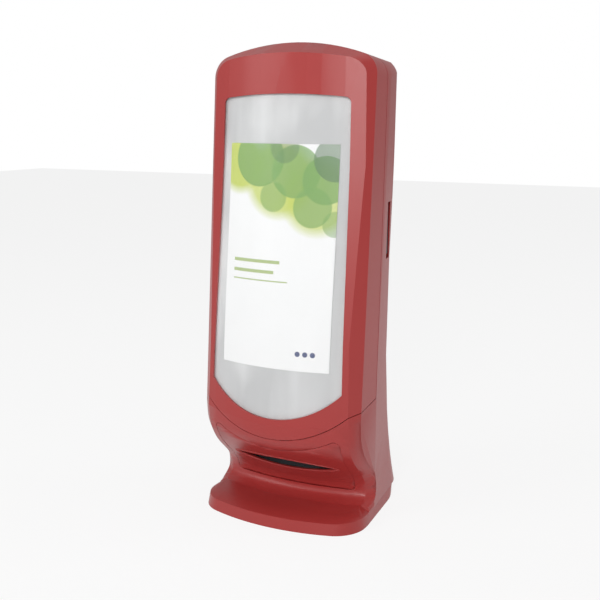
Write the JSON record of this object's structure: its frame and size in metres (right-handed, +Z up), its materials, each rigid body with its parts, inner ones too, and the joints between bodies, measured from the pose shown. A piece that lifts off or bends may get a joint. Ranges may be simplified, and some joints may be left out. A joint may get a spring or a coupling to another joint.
{
  "type": "napkin dispenser",
  "caption": "Free-standing napkin dispenser tower with a leaning shell, windowed lift-up cover, weighted follower and a dispensing slot over a hand pocket.",
  "frame": {"origin": "centre of the foot's footprint, on the surface it stands on", "axes": "+Z up, the front with the window and slot faces -Y, +X is the right side seen from the front"},
  "size_m": [0.235, 0.236, 0.6209],
  "materials": {
    "housing_red": "satin moulded red plastic, fine spark texture",
    "cover_red": "satin moulded red plastic, fine spark texture",
    "faceplate_red": "satin moulded red plastic",
    "window_clear": "clear polycarbonate",
    "backing_grey": "light grey sheet",
    "poster_print": null,
    "inner_grey": "dark grey moulded plastic",
    "steel": "zinc plated steel",
    "ballast_iron": "painted steel plate",
    "rubber": "soft rubber"
  },
  "bodies": {
    "housing": {"main_housing": "housing_red", "dispensing_faceplate": "faceplate_red", "magazine_side_left": "inner_grey", "magazine_side_right": "inner_grey", "magazine_back": "inner_grey", "magazine_bracket_left": "inner_grey", "magazine_bracket_right": "inner_grey", "follower_stops": "inner_grey", "throat_guide": "inner_grey", "hinge_leaf_housing": "steel", "hinge_pin": "steel", "hinge_screws_housing": "steel", "latch_lugs": "inner_grey", "latch_pin": "steel", "latch_spring": "steel", "base_plate": "inner_grey", "ballast_plate": "ballast_iron", "rubber_feet": "rubber", "base_screws": "steel"},
    "cover": {"front_cover": "cover_red", "display_window": "window_clear", "display_backing": "backing_grey", "poster_insert": "poster_print", "backing_rail_left": "inner_grey", "backing_rail_right": "inner_grey", "hinge_leaf_cover": "steel", "hinge_screws_cover": "steel", "cover_keeper": "inner_grey"},
    "follower": {"follower_plate": "inner_grey", "follower_weight": "steel", "follower_shoes": "inner_grey", "follower_grip": "inner_grey"},
    "latch": {"latch_paddle": "inner_grey"}
  },
  "joints": [
    {"name": "cover_hinge", "type": "hinge", "parent": "housing", "child": "cover", "pos_m": [0, -0.0042, 0.6128], "axis": [-1, 0, 0], "range_deg": [0, 90]},
    {"name": "follower_slide", "type": "slide", "parent": "housing", "child": "follower", "axis": [0, 0.0827, 0.9966], "range_m": [0, 0.335]},
    {"name": "latch_pull", "type": "hinge", "parent": "housing", "child": "latch", "pos_m": [0.103, 0.004, 0.384], "axis": [0, 0, -1], "range_deg": [0, 12], "stiffness_Nm_per_rad": 0.1}
  ]
}
